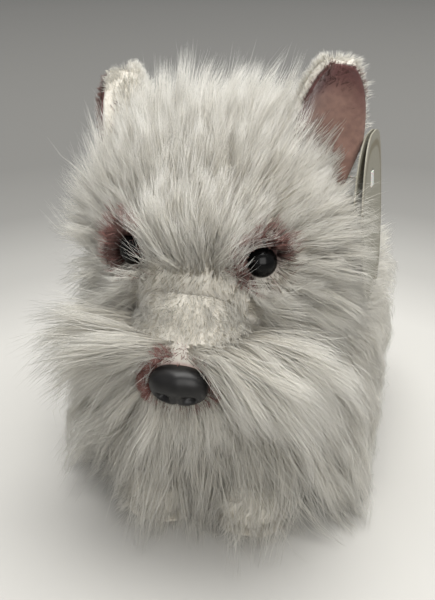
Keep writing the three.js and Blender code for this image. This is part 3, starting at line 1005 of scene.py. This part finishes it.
flank = {
    "count": 5200, "points": 4, "flow": torsoFlow, "droop": 0.12, "clump": 34, "pull": 0.6, "uneven": 0.4,
    "wave": 1.5, "width": 0.11,
}
torsoPieces = {
    "chestPile": {
        "count": 8300, "points": 5, "where": onChest, "flow": torsoFlow, "length": chestLength, "lift": 0.4,
        "droop": 0.1, "clump": 30, "pull": 0.62, "stray": 0.14, "uneven": 0.3, "wave": 2.0, "width": 0.09,
    },
    "leftFlankPile": {**flank, "where": onFlank(1), "length": evenly(24), "lift": 0.95, "stray": 0.32},
    "rightFlankPile": {**flank, "where": onFlank(-1), "length": evenly(23), "lift": 0.8, "stray": 0.27},
    "backPile": {
        "count": 4400, "points": 4, "where": onBack, "flow": torsoFlow, "length": evenly(22), "lift": 0.5,
        "droop": 0.12, "clump": 26, "pull": 0.5, "stray": 0.14, "uneven": 0.25, "wave": 1.0, "width": 0.13,
    },
    "bellyPile": {
        "count": 1500, "points": 4, "where": onBelly, "flow": torsoFlow, "length": evenly(7), "lift": 0.6,
        "droop": 0.0, "clump": 20, "pull": 0.6, "stray": 0.3, "uneven": 0.2, "wave": 0.5, "width": 0.16,
    },
    "chestWisps": {
        "count": 260, "points": 5, "where": onBreast, "flow": wispFlow, "length": evenly(44), "lift": 1.1,
        "droop": 0.1, "clump": 44, "pull": 0.88, "stray": 0.16, "uneven": 0.3, "wave": 2.6, "width": 0.095,
    },
}
torsoSolids = [torsoForm, headForm] + legSolids
for seed, (name, spec) in enumerate(torsoPieces.items(), 31):
    spec = {**spec, "solids": torsoSolids, "margin": 0.02}
    growCoat(name, "torso", [pads["torsoPad"]], spec, seed, whiteFibre)


def outsideTorso(p, n):
    return level(p, torsoForm) > 1.0


def pawFlow(column):
    def flow(p):
        return unit(unit(p - column["centre"]) * (1, 1, 0) + (0, -0.25, -0.7))
    return flow


def tailFlow(p):
    return unit(np.tile(tailAlong() * 1.2 + (0, 0.2, 0), (len(p), 1)))


legCounts = {"front": 2500, "rear": 1200}
for seed, leg in enumerate(pawReach, 41):
    column, paw = legForms(leg)
    spec = {
        "count": legCounts[leg.split("_")[0]], "points": 4, "where": outsideTorso,
        "flow": pawFlow(column), "length": evenly(10), "lift": 0.7, "droop": 0.15, "clump": 10, "pull": 0.3,
        "stray": 0.3, "uneven": 0.3, "wave": 0.9, "width": 0.09, "solids": [column, paw],
    }
    growCoat(leg + "LegPile", "torso", [pads[leg]], spec, seed, whiteFibre)

tailSpec = {
    "count": 1500, "points": 4, "where": outsideTorso, "flow": tailFlow, "length": evenly(13), "lift": 0.6,
    "droop": 0.1, "clump": 22, "pull": 0.55, "stray": 0.2, "uneven": 0.3, "wave": 0.7, "width": 0.125,
    "solids": [torsoForm],
}
growCoat("tailPile", "tail", [pads["tail"]], tailSpec, 47, whiteFibre)
print("body coat grown")


# brushed colour round the eyes and the nose
def haloSpec(centre, weight, length, count, **more):
    def where(p, n):
        return weight(p - centre) * (level(p, noseGuard) > 1.0)
    return {
        "count": count, "points": 4, "where": where, "flow": lambda p: unit(p - centre),
        "length": evenly(length), "lift": 1.4, "droop": 0.0, "clump": 10, "pull": 0.2, "stray": 0.3,
        "uneven": 0.25, "wave": 0.3, "width": 0.08, "solids": [headForm, muzzleForm, lipForm], "wild": 0.0,
        "crossing": 0.2, **more,
    }


def roundEye(near, far):  # mostly above the eye and towards the dog's right
    def weight(q):
        gap = np.linalg.norm(q, axis=1)
        above = smooth(-1, 5, q[:, 2]) + 0.8 * smooth(0, -5, q[:, 0]) * smooth(-7, -1, q[:, 2])
        return (0.04 + above) * smooth(far, near, gap) * (gap > 4.8)
    return weight


def roundNose(q):  # mostly below the nose and towards the dog's right
    amount = 0.2 + smooth(2, -6, q[:, 2]) + smooth(2, -8, q[:, 0])
    return amount * smooth(12, 8.5, np.linalg.norm(q / (1.45, 1, 1.15), axis=1))


for seed, side in enumerate(sideSigns, 51):
    spec = haloSpec(eyeCentres[side], roundEye(6.0, 9.5), 2.6, 1500)
    growCoat(side + "EyeHaloPile", "head", [pads["headPad"]], spec, seed, maroonFibre)
    spec = haloSpec(eyeCentres[side], roundEye(8.0, 13.0), 6.0, 500, flow=headFlow, lift=0.8)
    growCoat(side + "EyeBlushPile", "head", [pads["headPad"]], spec, seed + 3, blushFibre)
spec = haloSpec(noseCentre, roundNose, 2.5, 2300)
growCoat("noseHaloPile", "head", [pads["muzzlePad"]], spec, 53, blushFibre)
print("brushed colour done")


# ear coat: short pile over the back, a fringe over the edge, and the dark brushed rim
def earPlace(p, side):  # how far across and up the ear a point lies
    base, rise, facing, across, height = earFrame(side)
    q = p - base
    t = q @ rise / height
    return q @ across / earHalfWidth(t), t


def earFlow(side, out, forward):
    base, rise, facing, across, height = earFrame(side)

    def flow(p):
        s, t = earPlace(p, side)
        return unit(rise * 0.8 + across * (s * out)[:, None] + facing * forward)
    return flow


def onEarBack(side):
    facing = earFrame(side)[2]

    def where(p, n):
        s, t = earPlace(p, side)
        return (n @ facing < 0.35) * (t > 0.03) * (1 - brushedEdge(side, s, t))
    return where


def onEarEdge(side):
    def where(p, n):
        s, t = earPlace(p, side)
        outer = 0.25 if side == "left" else 1.0
        edge = np.maximum(smooth(0.8, 0.97, -s) + outer * smooth(0.8, 0.97, s), 0.5 * smooth(0.86, 0.97, t))
        return edge * (t > 0.05) * (1 - brushedEdge(side, s, t))
    return where


def brushedEdge(side, s, t):  # the patch of dark brushed hair on the front edge of the right ear
    if side == "left":
        return np.zeros(len(s))
    return smooth(0.72, 0.86, s) * smooth(0.22, 0.32, t) * smooth(0.93, 0.82, t)


def onEarRim(side):
    facing = earFrame(side)[2]

    def where(p, n):
        s, t = earPlace(p, side)
        edge = np.maximum(smooth(0.6, 0.9, np.abs(s)), smooth(0.7, 0.9, t))
        return edge * earRims[side](s, t) * (n @ facing > -0.2) + 1e-9
    return where


earFringe = {"left": 3.8, "right": 2.2}
earRims = {
    "left": lambda s, t: smooth(0.5, 0.9, t) + 1.2 * smooth(0.0, 0.6, -s),
    "right": lambda s, t: smooth(0.2, 0.9, s) * smooth(0.3, 0.6, t),
}
earCommon = {"droop": 0.05, "solids": [], "wild": 0.04, "swirl": 0.15, "points": 4, "clump": 8}
for seed, side in enumerate(sideSigns, 61):
    growCoat(side + "EarPile", side + "_ear", [ears[side + "Back"]], {
        "count": 3800, "where": onEarBack(side), "flow": earFlow(side, 0.5, -0.1), "length": evenly(3.2),
        "lift": 0.55, "pull": 0.15, "stray": 0.14, "uneven": 0.2, "wave": 0.2, "width": 0.085, **earCommon,
    }, seed, whiteFibre)
    growCoat(side + "EarFringe", side + "_ear", [ears[side + "Back"]], {
        "count": 1500, "where": onEarEdge(side), "flow": earFlow(side, 1.2, 0.4),
        "length": evenly(earFringe[side]), "lift": 0.5, "pull": 0.35, "stray": 0.18, "uneven": 0.3,
        "wave": 0.3, "width": 0.08, **earCommon,
    }, seed + 5, whiteFibre)
    growCoat(side + "EarRimPile", side + "_ear", [ears[side + "Lining"]], {
        "count": 1000, "where": onEarRim(side), "flow": earFlow(side, 0.8, 0.3), "length": evenly(2.4),
        "lift": 0.6, "pull": 0.1, "stray": 0.25, "uneven": 0.3, "wave": 0.1, "width": 0.08, **earCommon,
    }, seed + 9, maroonFibre)


def onBrushedEdge(p, n):
    return brushedEdge("right", *earPlace(p, "right")) + 1e-9


def downRightEar(p):
    base, rise, facing, across, height = earFrame("right")
    return -rise * 0.9 - across * 0.5 + np.zeros_like(p)


growCoat("rightEarEdgePile", "right_ear", [ears["rightBack"]], {
    **earCommon, "count": 900, "where": onBrushedEdge, "flow": downRightEar, "length": evenly(4.4),
    "lift": 0.4, "pull": 0.3, "stray": 0.15, "droop": 0.2, "uneven": 0.3, "wave": 0.2, "width": 0.09, "wild": 0.03,
}, 79, maroonFibre)
print("ear coat grown")


# ear linings: pink velour, darker where the rim is brushed
def liningMaterial():
    mat, nodes, links, shader = newMaterial("pink velour")
    nap = noiseNode(nodes, links, 420, 5)
    pink = rampNode(nodes, links, nap, [(0.3, (0.19, 0.105, 0.082)), (0.7, (0.29, 0.17, 0.135))])
    brushed = mixNode(nodes, links, attributeNode(nodes, "rim"), pink, (0.13, 0.05, 0.047))
    links.new(brushed, shader.inputs["Base Color"])
    setInputs(shader, {"Roughness": 0.85, "Sheen Weight": 0.5})
    bumpNode(nodes, links, noiseNode(nodes, links, 3000, 3), 0.6, 0.15, shader)
    return mat


velour = liningMaterial()
for side in sideSigns:
    back, lining = ears[side + "Back"], ears[side + "Lining"]
    dress(back, backing, side + "_ear", "ear_pile", side + "_ear_back")
    s, t = earPlace(pointsOf(lining), side)
    edge = np.maximum(smooth(0.35, 0.85, np.abs(s)), smooth(0.62, 0.9, t))
    paint(lining, "rim", np.clip(edge * earRims[side](s, t), 0, 1))
    shadeSmooth(lining)
    dress(lining, velour, side + "_ear", "pink_velour", side + "_ear_lining")


# safety eyes and nose
eyeSettings = {"radius": 4.9, "dome": 4.2, "back": 1.0, "shank": 2, "shankLength": 10, "shankStart": 0.4}


def makeEye(side):
    e = eyeSettings
    onlySelect(None)
    bpy.ops.mesh.primitive_uv_sphere_add(segments=40, ring_count=24, radius=1)
    ob = bpy.context.object
    p = pointsOf(ob) * mm
    p[:, :2] *= e["radius"]
    p[:, 2] *= np.where(p[:, 2] > 0, e["dome"], e["back"])
    onlySelect(None)
    bpy.ops.mesh.primitive_cylinder_add(vertices=20, radius=e["shank"] * mm, depth=e["shankLength"] * mm)
    shank = bpy.context.object
    setPoints(shank, pointsOf(shank) - np.array((0, 0, e["shankLength"] / 2 + e["shankStart"])))
    setPoints(ob, p)
    joinAll(ob, shank)
    turn = np.array(Vector(eyeWays[side]).to_track_quat("Z", "Y").to_matrix())
    setPoints(ob, pointsOf(ob) @ turn.T + eyeCentres[side])
    ob.name = side + "Eye"
    shadeSmooth(ob, 40)
    dress(ob, eyePlastic, "head", "black_plastic", side + "_eye")


def makeNose():  # two nostrils, a groove between them and a soft ridge above
    shape = form(noseCentre, (9.4, 5.2, 6.6), 2.3, turnX(10))
    ob = formMesh("nose", shape, 0, 64)
    p = (pointsOf(ob) - noseCentre) @ shape["turn"]
    front = smooth(1, -3, p[:, 1])
    for sign in (1, -1):
        dent = np.exp(-(((p[:, 0] - sign * 4.0) / 1.9) ** 4) - ((p[:, 2] + 2.2) / 1.35) ** 4)
        p[:, 1] += dent * front * 2.6
    groove = np.exp(-(p[:, 0] / 0.7) ** 2) * smooth(1.5, -2.5, p[:, 2])
    ridge = np.exp(-(p[:, 0] / 2.2) ** 2) * smooth(-2.5, 2, p[:, 2])
    p[:, 1] += front * (groove * 0.8 - ridge * 0.5)
    setPoints(ob, p @ shape["turn"].T + noseCentre)
    shadeSmooth(ob)
    dress(ob, nosePlastic, "head", "black_plastic", "nose")


makeEye("left")
makeEye("right")
makeNose()
print("eyes and nose made")


# hang tag: two thin oval leaves of card, each slightly curled, with a printed border line
tagShape = {
    "width": 38, "height": 62, "holeBelowTop": 16, "card": 0.5, "hole": 1.4, "window": 3.8, "opening": 2,
    "splay": 2.4, "coverSplay": 0.6, "between": 0.3, "curl": 1.6, "foldFullness": 0.5,
}


def cardMaterial():
    mat, nodes, links, shader = newMaterial("cream card")
    grain = noiseNode(nodes, links, 1400, 6)
    stops = [(0.3, (0.27, 0.255, 0.205)), (0.7, (0.33, 0.315, 0.255))]
    paper = rampNode(nodes, links, grain, stops)
    edges = [(0.80, (0, 0, 0)), (0.83, (1, 1, 1)), (0.88, (1, 1, 1)), (0.91, (0, 0, 0))]
    line = rampNode(nodes, links, attributeNode(nodes, "border"), edges)
    links.new(mixNode(nodes, links, line, paper, (0.20, 0.175, 0.12)), shader.inputs["Base Color"])
    setInputs(shader, {"Roughness": 0.45})
    bumpNode(nodes, links, grain, 0.3, 0.03, shader)
    return mat


def foldSide(y, power):  # the oval fills out towards its fold, so the leaves meet along a line
    half = tagShape["width"] / 2
    return np.where(y > 0, half * (np.abs(y) / half) ** power, y)


def makeLeaf(name, node, start, hole, opening, splay, curl, body, finish):
    g = tagShape
    middle = g["holeBelowTop"] - g["height"] / 2
    onlySelect(None)
    bpy.ops.mesh.primitive_circle_add(vertices=72, radius=hole * mm)
    inner = bpy.context.object
    onlySelect(None)
    bpy.ops.mesh.primitive_circle_add(vertices=72, radius=1)
    outer = bpy.context.object
    rim = pointsOf(outer) * mm
    rim = rim * (g["width"] / 2, g["height"] / 2, 0) + (0, middle, 0)
    rim[:, 0] = foldSide(rim[:, 0], g["foldFullness"])
    setPoints(outer, rim)
    ob = joinAll(outer, inner)
    ob.name = name
    onlySelect(ob)
    bpy.ops.object.mode_set(mode="EDIT")
    bpy.ops.mesh.select_all(action="SELECT")
    bpy.ops.mesh.bridge_edge_loops(number_cuts=14)
    bpy.ops.mesh.normals_make_consistent(inside=False)
    bpy.ops.object.mode_set(mode="OBJECT")
    flat = pointsOf(ob)
    y, z = flat[:, 0], flat[:, 1]
    low = smooth(0, -g["height"] + g["holeBelowTop"], z)
    x = start + g["card"] / 2 + splay * low + curl * (y / g["width"] * 2) ** 2 * 0.5 * (y < 0)
    away = y - g["width"] / 2
    turn = math.radians(opening)
    local = np.stack([x * math.cos(turn) - away * math.sin(turn),
                      x * math.sin(turn) + away * math.cos(turn) + g["width"] / 2, z], 1)
    out = np.array(jointOf("tag_swing")["axis"])
    up = np.array(jointOf("tag_open")["axis"])
    pivot = np.array(jointOf("tag_swing")["pos_m"]) / mm
    axes = np.stack([out, np.cross(up, out), up])
    setPoints(ob, local @ axes + pivot)
    thicken(ob, g["card"])
    p = (pointsOf(ob) - pivot) @ axes.T
    across = foldSide(p[:, 1], 1 / g["foldFullness"]) / g["width"] * 2
    paint(ob, "border", np.hypot(across, (p[:, 2] - middle) / g["height"] * 2))
    shadeSmooth(ob, 35)
    dress(ob, finish, body, "card", node)


card = cardMaterial()
makeLeaf("tagInnerLeaf", "tag_inner_leaf", 0, tagShape["hole"], 0, -tagShape["splay"], 0, "tag", card)
coverStart = tagShape["card"] + tagShape["between"]
makeLeaf("tagCoverLeaf", "tag_cover_leaf", coverStart, tagShape["window"], tagShape["opening"],
         tagShape["coverSplay"], tagShape["curl"], "tag_cover", card)
print("tag made")


# carried-over CAD nodes: washers and fastener; the care label is a loose strip of satin
def clearMaterial():
    mat, nodes, links, shader = newMaterial("clear plastic")
    haze = noiseNode(nodes, links, 900, 3)
    links.new(rampNode(nodes, links, haze, [(0.3, (0.75, 0.74, 0.7)), (0.7, (0.9, 0.89, 0.86))]),
              shader.inputs["Base Color"])
    setInputs(shader, {"Roughness": 0.25, "Subsurface Weight": 0.3, "Subsurface Scale": 1 * mm})
    return mat


def satinMaterial():
    mat, nodes, links, shader = newMaterial("satin label")
    place = nodes.new("ShaderNodeTexCoord")
    weave = nodes.new("ShaderNodeTexWave")
    weave.bands_direction = "Z"
    setInputs(weave, {"Scale": 900, "Distortion": 0.6})
    links.new(place.outputs["Object"], weave.inputs["Vector"])
    stops = [(0.2, (0.66, 0.65, 0.62)), (0.8, (0.80, 0.79, 0.76))]
    links.new(rampNode(nodes, links, weave.outputs["Fac"], stops), shader.inputs["Base Color"])
    setInputs(shader, {"Roughness": 0.38})
    bumpNode(nodes, links, weave.outputs["Fac"], 0.3, 0.05, shader)
    return mat


labelThickness = 0.3


def makeLabel():
    low, high = boxOf("care_label")
    onlySelect(None)
    bpy.ops.mesh.primitive_grid_add(x_subdivisions=12, y_subdivisions=16, size=2)
    ob = bpy.context.object
    ob.name = "careLabel"
    p = pointsOf(ob) * mm
    size, middle = high - low, (low + high) / 2
    wavy = 0.5 * np.sin(p[:, 0] * 1.7 + p[:, 1]) * (1 - p[:, 1]) / 2 + 0.3
    x, z = middle[0] + p[:, 0] * size[0] / 2, middle[2] + p[:, 1] * size[2] / 2
    setPoints(ob, np.stack([x, high[1] + wavy, z], 1))
    thicken(ob, labelThickness)
    shadeSmooth(ob, 40)
    dress(ob, satinMaterial(), "torso", "satin", "care_label")


makeLabel()
nodeFinishes = {
    washerPlastic: ["left_eye_washer", "right_eye_washer", "nose_washer"],
    clearMaterial(): ["tag_fastener"],
}
for finish, nodes in nodeFinishes.items():
    for name in nodes:
        for place in frame["nodes"][name].material_slots:
            place.material = finish
print("CAD pieces finished")


# floor, backdrop and studio light
studio = {
    "paintedPoolRadius": 0.14, "paintedFalloffEnd": 1.2, "floorRadius": 8, "keyEnergy": 21.5, "fillEnergy": 4.0,
    "world": 0.34, "lookAt": (0, 0, 0.07),
}


def floorWithPaintedLight():
    mat, nodes, links, shader = newMaterial("studio floor with painted light")
    place, length = nodes.new("ShaderNodeTexCoord"), nodes.new("ShaderNodeVectorMath")
    length.operation = "LENGTH"
    links.new(place.outputs["Object"], length.inputs[0])
    away = rangeNode(nodes, links, length.outputs["Value"], studio["paintedPoolRadius"], studio["paintedFalloffEnd"], "From")
    pale = (1.0, 0.985, 0.94)
    # painted light: the pale floor colour is painted brightest round the dog and darker outwards, a painted pool
    # of light fading into the grey of the far wall
    steps = [
        (0.0, 0.52), (0.03, 0.45), (0.055, 0.39), (0.08, 0.36), (0.108, 0.31), (0.145, 0.25), (0.245, 0.21),
        (1.0, 0.28),
    ]
    stops = [(place, [c * k for c in pale]) for place, k in steps]
    links.new(rampNode(nodes, links, away, stops), shader.inputs["Base Color"])
    setInputs(shader, {"Roughness": 0.8, "Specular IOR Level": 0.2})
    return mat


def areaLight(name, place, size, energy, colour):
    onlySelect(None)
    bpy.ops.object.light_add(type="AREA", location=place)
    lamp = bpy.context.object
    lamp.name = name
    lamp.data.energy, lamp.data.size, lamp.data.color = energy, size, colour
    lamp.rotation_mode = "QUATERNION"
    lamp.rotation_quaternion = (Vector(studio["lookAt"]) - Vector(place)).to_track_quat("-Z", "Y")


onlySelect(None)
bpy.ops.mesh.primitive_circle_add(vertices=128, radius=studio["floorRadius"], fill_type="NGON")
floor = bpy.context.object
floor.name = "floor"
floor.data.materials.append(floorWithPaintedLight())
floor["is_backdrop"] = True
areaLight("key", (0.10, 0.05, 1.25), 1.0, studio["keyEnergy"], (1, 0.99, 0.96))
areaLight("fill", (0.35, -0.75, 0.45), 0.6, studio["fillEnergy"], (1, 0.98, 0.95))
world = bpy.data.worlds.new("studio")
bpy.context.scene.world = world
world.use_nodes = True
setInputs(world.node_tree.nodes["Background"], {"Color": (0.97, 0.98, 1, 1), "Strength": studio["world"]})
bpy.context.scene.view_settings.view_transform = "Standard"

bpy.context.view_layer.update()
triangles = sum(sum(len(f.vertices) - 2 for f in o.data.polygons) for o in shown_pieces() if o.type == "MESH")
print("triangles", triangles)
